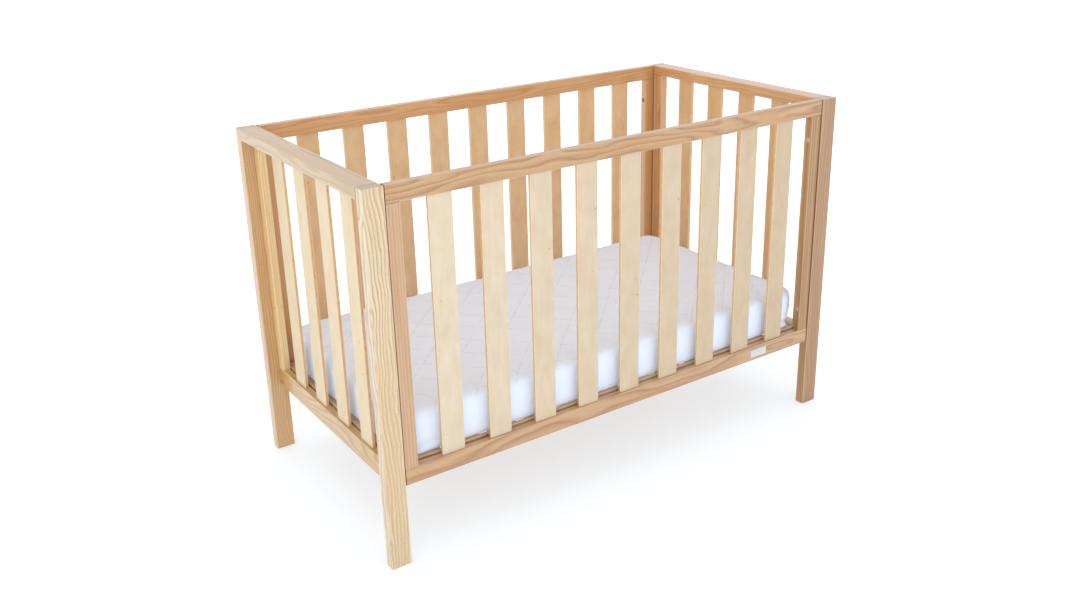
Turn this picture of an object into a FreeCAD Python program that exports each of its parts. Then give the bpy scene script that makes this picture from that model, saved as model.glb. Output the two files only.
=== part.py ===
"""A baby's crib: two slatted long sides, two slatted ends, a slatted base on support bolts and a mattress.

Sizes are in millimetres.  +X runs along the crib to the right, +Y to the back and +Z up.
The origin lies on the floor under the middle of the crib.  The four corner posts and the two end
panels stay glued together, the long sides are bolted between them, and the base hooks over four
support bolts, so that it lifts to a second row of holes.
"""
import FreeCAD, Part
import os
import re

import Sketcher

SIZES = (
    # whole crib
    ("overall_length", 1320),
    ("overall_width", 674),
    ("overall_height", 852),
    # corner posts
    ("post_width", 48),
    ("post_thickness", 27),
    ("post_round", 3),
    ("post_end_round", 1.5),
    # rails and stiles of the four panels
    ("rail_thickness", 19),
    ("rail_round", 2),
    ("bottom_rail_top", 229),
    ("end_top_rail_height", 27),
    ("end_bottom_rail_height", 50),
    ("end_stile_width", 29),
    ("long_rail_height", 39),
    ("long_stile_width", 31),
    ("panel_setback", 3),
    ("panel_gap", 2.5),
    # upright slats
    ("slat_width", 56),
    ("slat_thickness", 8),
    ("slat_round", 1.5),
    ("slat_housing", 10),
    ("housing_clearance", 0.1),
    ("long_slat_count", 9),
    ("long_slat_margin", 62.5),
    ("end_slat_count", 4),
    ("end_slat_margin", 71),
    # glued joints
    ("dowel_radius", 4),
    ("dowel_length", 36),
    ("dowel_end_gap", 1),
    ("rail_dowel_inset", 12),
    ("rail_dowel_spacing", 14),
    ("tenon_length", 15),
    ("tenon_thickness", 10),
    ("tenon_height", 36),
    # bolts that hold the long sides
    ("panel_bolt_rise", 61),
    ("panel_bolt_drop", 100),
    ("bolt_radius", 3),
    ("panel_bolt_grip", 12),
    ("panel_bolt_head_radius", 5.5),
    ("panel_bolt_head_height", 5),
    ("panel_bolt_clearance", 0.5),
    ("panel_bolt_recess", 11),
    ("insert_radius", 5),
    ("insert_length", 13),
    ("cap_height", 4.5),
    # bolts that carry the base
    ("support_drop", 36),
    ("support_rise", 206),
    ("support_reach", 14),
    ("support_head_radius", 5),
    ("support_head_height", 4),
    ("support_head_clearance", 0.5),
    # base
    ("base_step", 4),
    ("base_rail_height", 55),
    ("base_rail_thickness", 19),
    ("base_end_gap", 2),
    ("base_side_gap", 4),
    ("base_slat_count", 12),
    ("base_slat_width", 70),
    ("base_slat_thickness", 9),
    ("base_slat_clearance", 0.5),
    ("rebate_width", 10),
    ("notch_clearance", 0.4),
    # screws of the base
    ("screw_radius", 2),
    ("screw_length", 42),
    ("screw_head_radius", 4),
    ("screw_head_height", 3),
    ("screw_drop", 12),
    ("screw_spacing", 16),
    ("slat_screw_radius", 1.5),
    ("slat_screw_length", 16),
    ("slat_screw_head_radius", 3),
    ("slat_screw_head_height", 2),
    # mattress
    ("mattress_end_gap", 12),
    ("mattress_side_gap", 15),
    ("mattress_thickness", 105),
    ("mattress_corner", 45),
    ("mattress_edge", 20),
    # blank plate on the front bottom rail
    ("badge_length", 56),
    ("badge_height", 21),
    ("badge_thickness", 1),
    ("badge_inset", 152.5),
    ("badge_corner", 1.5),
)

LEFT, RIGHT = -1, 1
FRONT, BACK = -1, 1
ENDS = (("left", LEFT), ("right", RIGHT))
FACES = (("front", FRONT), ("back", BACK))

document = FreeCAD.newDocument("crib")
sheet = document.addObject("Spreadsheet::Sheet", "sizes")
for row, (alias, value) in enumerate(SIZES, start=1):
    sheet.set(f"A{row}", alias)
    sheet.set(f"B{row}", str(value))
    sheet.setAlias(f"B{row}", alias)
document.recompute()
names = {alias for alias, value in SIZES}


def formula(text):
    """Turn a sum over the sheet's names into an expression that the document understands."""
    def cell(word):
        if word.group() not in names:
            raise ValueError(f"no size is called {word.group()}")
        return f"sizes.{word.group()}"
    return re.sub(r"[a-z]+(_[a-z]+)*", cell, text)


def bind(thing, prop, text):
    """Tie one property of a document object to the sheet."""
    thing.setExpression(prop, formula(text))


def put(thing, x, y, z):
    """Tie a document object's place to the sheet."""
    for letter, text in (("x", x), ("y", y), ("z", z)):
        bind(thing, f"Placement.Base.{letter}", text)


# Every left piece has a right twin and every front piece a back twin, so places are given from the
# outside of the crib or of a piece, and these turn them into coordinates.

def in_from_outside(side, overall, distance, size):
    """Low coordinate of a piece of this size that lies a distance in from the crib's outside."""
    if side < 0:
        return f"-({overall}) / 2 + ({distance})"
    return f"({overall}) / 2 - ({distance}) - ({size})"


def from_outer_face(side, span, distance):
    """Coordinate inside a piece, measured from the face that looks out of the crib."""
    if side < 0:
        return distance
    return f"{span} - ({distance})"


def sunk_from_inner_face(side, span, depth):
    """Low end of a hole that is sunk into the face that looks into the crib."""
    if side < 0:
        return f"{span} - ({depth})"
    return "0"


def sunk_from_outer_face(side, span, depth):
    """Low end of a hole that is sunk into the face that looks out of the crib."""
    return sunk_from_inner_face(-side, span, depth)


# Sawn and planed stock: a rectangle padded along its run, with its long edges eased.

RUNS = {
    "x": ("YZ_Plane", FreeCAD.Vector(1, 0, 0), FreeCAD.Rotation(FreeCAD.Vector(0, 1, 0), 90)),
    "y": ("XZ_Plane", FreeCAD.Vector(0, 1, 0), FreeCAD.Rotation(FreeCAD.Vector(1, 0, 0), -90)),
    "z": ("XY_Plane", FreeCAD.Vector(0, 0, 1), FreeCAD.Rotation()),
}


def rectangle(body, name, plane, across, up):
    """Sketch a rectangle with its corner on the body's origin."""
    sketch = body.newObject("Sketcher::SketchObject", name)
    support = [item for item in body.Origin.OriginFeatures if item.Role == plane]
    sketch.AttachmentSupport = [(support[0], "")]
    sketch.MapMode = "FlatFace"
    corners = ((0, 0), (10, 0), (10, 10), (0, 10))
    for start, end in zip(corners, corners[1:] + corners[:1]):
        line = Part.LineSegment(FreeCAD.Vector(*start, 0), FreeCAD.Vector(*end, 0))
        sketch.addGeometry(line, False)
    for line in range(4):
        sketch.addConstraint(Sketcher.Constraint("Coincident", line, 2, (line + 1) % 4, 1))
        direction = "Horizontal" if line % 2 == 0 else "Vertical"
        sketch.addConstraint(Sketcher.Constraint(direction, line))
    sketch.addConstraint(Sketcher.Constraint("Coincident", 0, 1, -1, 1))
    for title, kind, line, text in (("across", "DistanceX", 0, across), ("up", "DistanceY", 1, up)):
        index = sketch.addConstraint(Sketcher.Constraint(kind, line, 1, line, 2, 10.0))
        sketch.renameConstraint(index, title)
        bind(sketch, f"Constraints.{title}", text)
    return sketch


def edges_along(shape, direction):
    """Names of the straight edges that run in one direction."""
    found = []
    for number, edge in enumerate(shape.Edges, start=1):
        straight = isinstance(edge.Curve, Part.Line)
        if straight and abs(edge.tangentAt(edge.FirstParameter).dot(direction)) > 0.999:
            found.append(f"Edge{number}")
    return found


def round_edges(body, name, edges, radius):
    """Round the named edges of the body's last feature."""
    base = body.Tip
    fillet = body.newObject("PartDesign::Fillet", f"{name}_round")
    fillet.Base = (base, edges)
    bind(fillet, "Radius", radius)
    document.recompute()


def level_edges(shape):
    """Names of the edges that lie level."""
    return [f"Edge{number}" for number, edge in enumerate(shape.Edges, start=1)
            if abs(edge.tangentAt(edge.FirstParameter).z) < 0.001]


def board(name, run, across, up, length, place, radius):
    """Make a body of rectangular section, padded along its run and put in its place."""
    plane, direction, turn = RUNS[run]
    body = document.addObject("PartDesign::Body", name)
    body.Label = name
    sketch = rectangle(body, f"{name}_section", plane, across, up)
    pad = body.newObject("PartDesign::Pad", f"{name}_pad")
    pad.Profile = sketch
    pad.Reversed = run == "y"
    bind(pad, "Length", length)
    document.recompute()
    round_edges(body, name, edges_along(pad.Shape, direction), radius)
    put(body, *place)
    return body


def cut_box(body, name, size, corner):
    """Cut a square hole from a body, given its size and its low corner in the body."""
    box = body.newObject("PartDesign::SubtractiveBox", f"{body.Name}_{name}")
    for prop, text in zip(("Length", "Width", "Height"), size):
        bind(box, prop, text)
    put(box, *corner)
    return box


def add_box(body, name, size, corner):
    """Add a square block to a body, given its size and its low corner in the body."""
    box = body.newObject("PartDesign::AdditiveBox", f"{body.Name}_{name}")
    for prop, text in zip(("Length", "Width", "Height"), size):
        bind(box, prop, text)
    put(box, *corner)
    return box


def drill(body, name, run, radius, depth, start):
    """Drill a round hole in a body along its run, given the hole's low end in the body."""
    hole = body.newObject("PartDesign::SubtractiveCylinder", f"{body.Name}_{name}")
    bind(hole, "Radius", radius)
    bind(hole, "Height", depth)
    hole.Placement = FreeCAD.Placement(FreeCAD.Vector(), RUNS[run][2])
    put(hole, *start)
    return hole


def repeat(body, name, original, run, pitch, count):
    """Repeat a cut along one of the body's axes."""
    role = {"x": "X_Axis", "y": "Y_Axis"}[run]
    axis = [item for item in body.Origin.OriginFeatures if item.Role == role]
    pattern = body.newObject("PartDesign::LinearPattern", f"{body.Name}_{name}")
    pattern.Originals = [original]
    pattern.Direction = (axis[0], [""])
    bind(pattern, "Length", f"{pitch} * ({count} - 1)")
    bind(pattern, "Occurrences", count)
    body.Tip = pattern
    return pattern


# Round fasteners: plain cylinders, alone or with a head, gathered into one node for each kind.

def rod(name, run, radius, length, start):
    """Make a round rod, given its low end."""
    cylinder = document.addObject("Part::Cylinder", name)
    bind(cylinder, "Radius", radius)
    bind(cylinder, "Height", length)
    cylinder.Placement = FreeCAD.Placement(FreeCAD.Vector(), RUNS[run][2])
    put(cylinder, *start)
    return cylinder


def along(run, point, distance):
    """Move a point a distance along its run."""
    moved = list(point)
    place = "xyz".index(run)
    moved[place] = f"{point[place]} + {distance}"
    return tuple(moved)


def headed(name, run, sense, shank, head, point):
    """Make a bolt or screw whose head meets its shank at the point; sense is the shank's direction."""
    shank_radius, shank_length = shank
    head_radius, head_height = head
    shank_start = point if sense > 0 else along(run, point, f"(-({shank_length}))")
    head_start = along(run, point, f"(-({head_height}))") if sense > 0 else point
    fused = document.addObject("Part::Fuse", name)
    fused.Base = rod(f"{name}_shank", run, shank_radius, shank_length, shank_start)
    fused.Tool = rod(f"{name}_head", run, head_radius, head_height, head_start)
    fused.Refine = True
    return fused


def sleeve(name, run, outer, bore, length, start):
    """Make a tube, given its low end."""
    tube = document.addObject("Part::Cut", name)
    tube.Base = rod(f"{name}_outside", run, outer, length, start)
    tube.Tool = rod(f"{name}_bore", run, bore, length, start)
    return tube


def gather(name, pieces):
    """Gather separate solids of one kind into one node."""
    group = document.addObject("Part::Compound", name)
    group.Label = name
    group.Links = pieces
    return group


subparts = []

# Lengths and places that more than one piece needs.

end_span = "(overall_width - 2 * post_thickness)"
long_span = "(overall_length - 2 * post_width - 2 * panel_gap)"
end_stile_length = "(overall_height - end_top_rail_height - bottom_rail_top)"
long_stile_length = "(overall_height - long_rail_height - bottom_rail_top)"
end_slat_pitch = (f"(({end_span} - 2 * end_stile_width - 2 * end_slat_margin - slat_width)"
                  " / (end_slat_count - 1))")
long_slat_pitch = (f"(({long_span} - 2 * long_stile_width - 2 * long_slat_margin - slat_width)"
                   " / (long_slat_count - 1))")
housing_width = "(slat_width + 2 * housing_clearance)"
housing_thickness = "(slat_thickness + 2 * housing_clearance)"
housing_depth = "(slat_housing + housing_clearance)"
dowel_half = "(dowel_length / 2)"
dowel_hole = "(dowel_length / 2 + dowel_end_gap)"
end_panel_inset = "(post_width - rail_thickness)"
end_panel_middle = "(post_width - rail_thickness / 2)"
long_panel_middle = "(panel_setback + rail_thickness / 2)"
end_stile_middle = "(post_thickness + end_stile_width / 2)"
long_stile_inner = "(post_width + panel_gap + long_stile_width)"
panel_bolt_levels = ("(bottom_rail_top + panel_bolt_rise)", "(overall_height - panel_bolt_drop)")
support_recess = "(rail_thickness - insert_length)"
support_level = "(bottom_rail_top - support_drop)"
upper_support_level = f"({support_level} + support_rise)"
rail_dowel_steps = ("0", "rail_dowel_spacing")


# Four corner posts.  Each takes the bolts of a long side, the dowels of an end's top rail and the
# tenon of its bottom rail.

def corner_post(name, end, face):
    """Make one corner post with its joints cut."""
    place = (
        in_from_outside(end, "overall_length", "0", "post_width"),
        in_from_outside(face, "overall_width", "0", "post_thickness"),
        "0",
    )
    body = board(name, "z", "post_width", "post_thickness", "overall_height", place, "post_round")
    round_edges(body, f"{name}_end", level_edges(body.Shape), "post_end_round")
    for number, height in enumerate(panel_bolt_levels, start=1):
        middle = from_outer_face(face, "post_thickness", long_panel_middle)
        start = sunk_from_inner_face(end, "post_width", "insert_length")
        drill(body, f"bolt_hole_{number}", "x", "insert_radius", "insert_length",
              (start, middle, height))
    for number, step in enumerate(rail_dowel_steps, start=1):
        across = from_outer_face(end, "post_width", f"rail_dowel_inset + {step}")
        start = sunk_from_inner_face(face, "post_thickness", dowel_hole)
        drill(body, f"dowel_hole_{number}", "y", "dowel_radius", dowel_hole,
              (across, start, "overall_height - end_top_rail_height / 2"))
    mortise_depth = "(tenon_length + dowel_end_gap)"
    mortise_middle = from_outer_face(end, "post_width", end_panel_middle)
    cut_box(body, "mortise", ("tenon_thickness", mortise_depth, "tenon_height"),
            (f"{mortise_middle} - tenon_thickness / 2",
             sunk_from_inner_face(face, "post_thickness", mortise_depth),
             "bottom_rail_top - end_bottom_rail_height / 2 - tenon_height / 2"))
    return body


for end_name, end in ENDS:
    for face_name, face in FACES:
        subparts.append(corner_post(f"post_{face_name}_{end_name}", end, face))


# Ends of the crib.  A square top rail lies between the post tops, a deeper bottom rail is tenoned
# into the posts, and stiles and slats stand between them in line with the posts' inner faces.

def cut_end_housings(body, middle, start):
    """Cut the slats' housings into an end rail whose housings run along the given middle."""
    across = (f"({end_span} - {end_slat_pitch} * (end_slat_count - 1) - {housing_width}) / 2")
    first = cut_box(body, "housing", (housing_thickness, housing_width, housing_depth),
                    (f"{middle} - {housing_thickness} / 2", across, start))
    repeat(body, "housings", first, "y", end_slat_pitch, "end_slat_count")


def end_top_rail(name, end):
    """Make an end's top rail, with dowel holes in its ends and housings for the slats below."""
    place = (
        in_from_outside(end, "overall_length", "0", "post_width"),
        "-overall_width / 2 + post_thickness",
        "overall_height - end_top_rail_height",
    )
    body = board(name, "y", "post_width", "end_top_rail_height", end_span, place, "rail_round")
    middle = from_outer_face(end, "post_width", end_panel_middle)
    for face_name, face in FACES:
        for number, step in enumerate(rail_dowel_steps, start=1):
            across = from_outer_face(end, "post_width", f"rail_dowel_inset + {step}")
            drill(body, f"dowel_hole_{face_name}_{number}", "y", "dowel_radius", dowel_hole,
                  (across, sunk_from_outer_face(face, end_span, dowel_hole),
                   "end_top_rail_height / 2"))
        drill(body, f"stile_hole_{face_name}", "z", "dowel_radius", dowel_hole,
              (middle, from_outer_face(face, end_span, "end_stile_width / 2"), "0"))
    cut_end_housings(body, middle, "0")
    return body


def support_hole(body, label, end, across, height, outer_radius):
    """Drill a hole for a support bolt and its threaded insert through a piece of an end."""
    start = sunk_from_inner_face(end, "rail_thickness", "insert_length")
    drill(body, f"insert_hole_{label}", "x", "insert_radius", "insert_length",
          (start, across, height))
    start = sunk_from_outer_face(end, "rail_thickness", support_recess)
    drill(body, f"outer_hole_{label}", "x", outer_radius, support_recess, (start, across, height))


def end_bottom_rail(name, end):
    """Make an end's bottom rail, with its tenons, slat housings and holes for the support bolts."""
    place = (
        in_from_outside(end, "overall_length", end_panel_inset, "rail_thickness"),
        "-overall_width / 2 + post_thickness",
        "bottom_rail_top - end_bottom_rail_height",
    )
    body = board(name, "y", "rail_thickness", "end_bottom_rail_height", end_span, place,
                 "rail_round")
    for face_name, start in (("front", "-tenon_length"), ("back", end_span)):
        add_box(body, f"tenon_{face_name}", ("tenon_thickness", "tenon_length", "tenon_height"),
                ("(rail_thickness - tenon_thickness) / 2", start,
                 "(end_bottom_rail_height - tenon_height) / 2"))
    for face_name, face in FACES:
        middle = from_outer_face(face, end_span, "end_stile_width / 2")
        drill(body, f"stile_hole_{face_name}", "z", "dowel_radius", dowel_hole,
              ("rail_thickness / 2", middle, f"end_bottom_rail_height - {dowel_hole}"))
        support_hole(body, face_name, end, middle,
                     f"{support_level} - bottom_rail_top + end_bottom_rail_height",
                     "support_head_radius + support_head_clearance")
    cut_end_housings(body, "rail_thickness / 2", f"end_bottom_rail_height - {housing_depth}")
    return body


def end_stile(name, end, face):
    """Make the upright beside a post, with a hole for the upper support bolt."""
    place = (
        in_from_outside(end, "overall_length", end_panel_inset, "rail_thickness"),
        in_from_outside(face, "overall_width", "post_thickness", "end_stile_width"),
        "bottom_rail_top",
    )
    body = board(name, "z", "rail_thickness", "end_stile_width", end_stile_length, place,
                 "rail_round")
    for label, start in (("foot", "0"), ("head", f"{end_stile_length} - {dowel_hole}")):
        drill(body, f"dowel_hole_{label}", "z", "dowel_radius", dowel_hole,
              ("rail_thickness / 2", "end_stile_width / 2", start))
    support_hole(body, "upper", end, "end_stile_width / 2",
                 f"{upper_support_level} - bottom_rail_top", "bolt_radius")
    return body


def end_slat(name, end, number):
    """Make one slat of an end."""
    inset = f"({end_panel_middle} - slat_thickness / 2)"
    place = (
        in_from_outside(end, "overall_length", inset, "slat_thickness"),
        f"({number} - (end_slat_count - 1) / 2) * {end_slat_pitch} - slat_width / 2",
        "bottom_rail_top - slat_housing",
    )
    length = f"{end_stile_length} + 2 * slat_housing"
    return board(name, "z", "slat_thickness", "slat_width", length, place, "slat_round")


for end_name, end in ENDS:
    subparts.append(end_top_rail(f"end_top_rail_{end_name}", end))
    subparts.append(end_bottom_rail(f"end_bottom_rail_{end_name}", end))
    for face_name, face in FACES:
        subparts.append(end_stile(f"end_stile_{end_name}_{face_name}", end, face))
    for number in range(int(sheet.get("end_slat_count"))):
        subparts.append(end_slat(f"end_slat_{end_name}_{number + 1}", end, number))


# Long sides.  Each is a frame of two rails and two stiles, a little behind the posts' outer faces,
# and bolted to the posts through its stiles.

def long_rail(name, face, bottom, joints_start):
    """Make a rail of a long side; its dowel holes and slat housings start at the given levels."""
    place = (
        f"-{long_span} / 2",
        in_from_outside(face, "overall_width", "panel_setback", "rail_thickness"),
        bottom,
    )
    dowel_start, housing_start = joints_start
    body = board(name, "x", "rail_thickness", "long_rail_height", long_span, place, "rail_round")
    for end_name, end in ENDS:
        drill(body, f"stile_hole_{end_name}", "z", "dowel_radius", dowel_hole,
              (from_outer_face(end, long_span, "long_stile_width / 2"), "rail_thickness / 2",
               dowel_start))
    across = f"({long_span} - {long_slat_pitch} * (long_slat_count - 1) - {housing_width}) / 2"
    first = cut_box(body, "housing", (housing_width, housing_thickness, housing_depth),
                    (across, f"(rail_thickness - {housing_thickness}) / 2", housing_start))
    repeat(body, "housings", first, "x", long_slat_pitch, "long_slat_count")
    return body


def long_stile(name, end, face):
    """Make a stile of a long side, with sunk holes for its two bolts."""
    place = (
        in_from_outside(end, "overall_length", "post_width + panel_gap", "long_stile_width"),
        in_from_outside(face, "overall_width", "panel_setback", "rail_thickness"),
        "bottom_rail_top",
    )
    body = board(name, "z", "long_stile_width", "rail_thickness", long_stile_length, place,
                 "rail_round")
    for label, start in (("foot", "0"), ("head", f"{long_stile_length} - {dowel_hole}")):
        drill(body, f"dowel_hole_{label}", "z", "dowel_radius", dowel_hole,
              ("long_stile_width / 2", "rail_thickness / 2", start))
    for number, height in enumerate(panel_bolt_levels, start=1):
        level = f"{height} - bottom_rail_top"
        drill(body, f"bolt_hole_{number}", "x", "bolt_radius + panel_bolt_clearance",
              "long_stile_width", ("0", "rail_thickness / 2", level))
        start = sunk_from_inner_face(end, "long_stile_width", "panel_bolt_recess")
        drill(body, f"recess_{number}", "x", "panel_bolt_head_radius + panel_bolt_clearance",
              "panel_bolt_recess", (start, "rail_thickness / 2", level))
    return body


def long_slat(name, face, number):
    """Make one slat of a long side."""
    inset = f"({long_panel_middle} - slat_thickness / 2)"
    place = (
        f"({number} - (long_slat_count - 1) / 2) * {long_slat_pitch} - slat_width / 2",
        in_from_outside(face, "overall_width", inset, "slat_thickness"),
        "bottom_rail_top - slat_housing",
    )
    length = f"{long_stile_length} + 2 * slat_housing"
    return board(name, "z", "slat_width", "slat_thickness", length, place, "slat_round")


top_rail_joints = ("0", "0")
bottom_rail_joints = (f"long_rail_height - {dowel_hole}", f"long_rail_height - {housing_depth}")
for face_name, face in FACES:
    subparts.append(long_rail(f"{face_name}_top_rail", face, "overall_height - long_rail_height",
                              top_rail_joints))
    subparts.append(long_rail(f"{face_name}_bottom_rail", face,
                              "bottom_rail_top - long_rail_height", bottom_rail_joints))
    for end_name, end in ENDS:
        subparts.append(long_stile(f"{face_name}_stile_{end_name}", end, face))
    for number in range(int(sheet.get("long_slat_count"))):
        subparts.append(long_slat(f"{face_name}_slat_{number + 1}", face, number))


# Wooden dowels, all one size: two in each end of an end's top rail and one at each end of a stile.

dowels = []


def upright_dowel(name, x, y, level):
    """Make a dowel that stands half above and half below the given level."""
    dowels.append(rod(name, "z", "dowel_radius", "dowel_length", (x, y, f"{level} - {dowel_half}")))


for end_name, end in ENDS:
    for face_name, face in FACES:
        corner = f"{end_name}_{face_name}"
        start = in_from_outside(face, "overall_width", f"post_thickness - {dowel_half}",
                                "dowel_length")
        for number, step in enumerate(rail_dowel_steps, start=1):
            across = in_from_outside(end, "overall_length", f"rail_dowel_inset + {step}", "0")
            dowels.append(rod(f"rail_dowel_{corner}_{number}", "y", "dowel_radius", "dowel_length",
                              (across, start, "overall_height - end_top_rail_height / 2")))
        x = in_from_outside(end, "overall_length", end_panel_middle, "0")
        y = in_from_outside(face, "overall_width", end_stile_middle, "0")
        upright_dowel(f"end_stile_foot_dowel_{corner}", x, y, "bottom_rail_top")
        upright_dowel(f"end_stile_head_dowel_{corner}", x, y, "overall_height - end_top_rail_height")
        x = in_from_outside(end, "overall_length", f"{long_stile_inner} - long_stile_width / 2", "0")
        y = in_from_outside(face, "overall_width", long_panel_middle, "0")
        upright_dowel(f"long_stile_foot_dowel_{corner}", x, y, "bottom_rail_top")
        upright_dowel(f"long_stile_head_dowel_{corner}", x, y, "overall_height - long_rail_height")
subparts.append(gather("dowels", dowels))


# Bolts of the long sides.  Each head is sunk into the stile's inner edge and each shank runs into a
# threaded insert in the post.  Wood-coloured caps cover the heads of the front side.

panel_bolts = []
inserts = []
bolt_caps = []
bolt_shank = "long_stile_width - panel_bolt_recess + panel_gap + panel_bolt_grip"
for end_name, end in ENDS:
    for face_name, face in FACES:
        middle = in_from_outside(face, "overall_width", long_panel_middle, "0")
        for number, height in enumerate(panel_bolt_levels, start=1):
            label = f"{end_name}_{face_name}_{number}"
            seat = in_from_outside(end, "overall_length",
                                   f"{long_stile_inner} - panel_bolt_recess", "0")
            panel_bolts.append(headed(f"panel_bolt_{label}", "x", end,
                                      ("bolt_radius", bolt_shank),
                                      ("panel_bolt_head_radius", "panel_bolt_head_height"),
                                      (seat, middle, height)))
            start = in_from_outside(end, "overall_length", "post_width - insert_length",
                                    "insert_length")
            inserts.append(sleeve(f"post_insert_{label}", "x", "insert_radius", "bolt_radius",
                                  "insert_length", (start, middle, height)))
            if face == FRONT:
                start = in_from_outside(end, "overall_length", f"{long_stile_inner} - cap_height",
                                        "cap_height")
                bolt_caps.append(rod(f"bolt_cap_{label}", "x",
                                     "panel_bolt_head_radius + panel_bolt_clearance", "cap_height",
                                     (start, middle, height)))
subparts.append(gather("panel_bolts", panel_bolts))
subparts.append(gather("bolt_caps", bolt_caps))


# Support bolts carry the base.  They pass through inserts in the ends' bottom rails, and a second
# row of inserts in the stiles is there for the upper height of the base.

support_bolts = []
for end_name, end in ENDS:
    for face_name, face in FACES:
        middle = in_from_outside(face, "overall_width", end_stile_middle, "0")
        seat = in_from_outside(end, "overall_length", f"{end_panel_inset} + {support_recess}", "0")
        support_bolts.append(headed(f"support_bolt_{end_name}_{face_name}", "x", -end,
                                    ("bolt_radius", "insert_length + support_reach"),
                                    ("support_head_radius", "support_head_height"),
                                    (seat, middle, support_level)))
        start = in_from_outside(end, "overall_length", f"{end_panel_inset} + {support_recess}",
                                "insert_length")
        for label, level in (("lower", support_level), ("upper", upper_support_level)):
            inserts.append(sleeve(f"support_insert_{end_name}_{face_name}_{label}", "x",
                                  "insert_radius", "bolt_radius", "insert_length",
                                  (start, middle, level)))
subparts.append(gather("support_bolts", support_bolts))
subparts.append(gather("threaded_inserts", inserts))


# Base of the crib: end rails with open notches that hook over the support bolts, side rails between
# them with a rebate along their inner top edges, and slats that lie in the rebates.

base_top = "(bottom_rail_top + base_step)"
base_bottom = f"({base_top} - base_rail_height)"
base_length = "(overall_length - 2 * post_width - 2 * base_end_gap)"
base_inset = "(post_width + base_end_gap)"
base_side_inset = "(panel_setback + rail_thickness + base_side_gap)"
base_width = f"(overall_width - 2 * {base_side_inset})"
side_rail_length = f"({base_length} - 2 * base_rail_thickness)"
base_slat_pitch = f"({side_rail_length} / base_slat_count)"
slat_screw_inset = "(base_rail_thickness - rebate_width / 2)"
screw_drops = ("screw_drop", "(screw_drop + screw_spacing)")


def base_end_rail(name, end):
    """Make an end rail of the base, notched from below for the support bolts."""
    place = (
        in_from_outside(end, "overall_length", base_inset, "base_rail_thickness"),
        f"-{base_width} / 2",
        base_bottom,
    )
    body = board(name, "y", "base_rail_thickness", "base_rail_height", base_width, place,
                 "rail_round")
    notch = "(bolt_radius + notch_clearance)"
    level = f"({support_level} - {base_bottom})"
    for face_name, face in FACES:
        middle = from_outer_face(face, base_width, f"{end_stile_middle} - {base_side_inset}")
        drill(body, f"notch_top_{face_name}", "x", notch, "base_rail_thickness",
              ("0", middle, level))
        cut_box(body, f"notch_{face_name}", ("base_rail_thickness", f"2 * {notch}", level),
                ("0", f"{middle} - {notch}", "0"))
        across = from_outer_face(face, base_width, "base_rail_thickness / 2")
        for number, drop in enumerate(screw_drops, start=1):
            height = f"base_rail_height - {drop}"
            drill(body, f"screw_hole_{face_name}_{number}", "x", "screw_radius",
                  "base_rail_thickness", ("0", across, height))
            start = sunk_from_outer_face(end, "base_rail_thickness", "screw_head_height")
            drill(body, f"head_hole_{face_name}_{number}", "x", "screw_head_radius",
                  "screw_head_height", (start, across, height))
    return body


def base_side_rail(name, face):
    """Make a side rail of the base, with a rebate for the slats and pilot holes for the screws."""
    place = (
        f"-{side_rail_length} / 2",
        in_from_outside(face, "overall_width", base_side_inset, "base_rail_thickness"),
        base_bottom,
    )
    body = board(name, "x", "base_rail_thickness", "base_rail_height", side_rail_length, place,
                 "rail_round")
    cut_box(body, "rebate", (side_rail_length, "rebate_width", "base_slat_thickness"),
            ("0", sunk_from_inner_face(face, "base_rail_thickness", "rebate_width"),
             "base_rail_height - base_slat_thickness"))
    depth = "(screw_length + screw_head_height - base_rail_thickness)"
    for end_name, end in ENDS:
        for number, drop in enumerate(screw_drops, start=1):
            drill(body, f"pilot_{end_name}_{number}", "x", "screw_radius", depth,
                  (sunk_from_outer_face(end, side_rail_length, depth),
                   "base_rail_thickness / 2", f"base_rail_height - {drop}"))
    depth = "(slat_screw_length + slat_screw_head_height - base_slat_thickness)"
    first = drill(body, "slat_pilot", "z", "slat_screw_radius", depth,
                  (f"{base_slat_pitch} / 2",
                   from_outer_face(face, "base_rail_thickness", slat_screw_inset),
                   f"base_rail_height - base_slat_thickness - {depth}"))
    repeat(body, "slat_pilots", first, "x", base_slat_pitch, "base_slat_count")
    return body


def base_slat(number):
    """Make one slat of the base, with a screw hole at each end."""
    end_inset = "(base_rail_thickness - rebate_width + base_slat_clearance)"
    length = f"({base_width} - 2 * {end_inset})"
    place = (
        f"({number} - (base_slat_count - 1) / 2) * {base_slat_pitch} - base_slat_width / 2",
        f"-{length} / 2",
        f"{base_top} - base_slat_thickness",
    )
    body = board(f"base_slat_{number + 1}", "y", "base_slat_width", "base_slat_thickness", length,
                 place, "slat_round")
    for face_name, face in FACES:
        across = from_outer_face(face, length, f"{slat_screw_inset} - {end_inset}")
        drill(body, f"screw_hole_{face_name}", "z", "slat_screw_radius", "base_slat_thickness",
              ("base_slat_width / 2", across, "0"))
        drill(body, f"head_hole_{face_name}", "z", "slat_screw_head_radius",
              "slat_screw_head_height",
              ("base_slat_width / 2", across, "base_slat_thickness - slat_screw_head_height"))
    return body


for end_name, end in ENDS:
    subparts.append(base_end_rail(f"base_end_rail_{end_name}", end))
for face_name, face in FACES:
    subparts.append(base_side_rail(f"base_side_rail_{face_name}", face))
base_slats = [base_slat(number) for number in range(int(sheet.get("base_slat_count")))]
subparts.append(gather("base_slats", base_slats))

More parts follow.
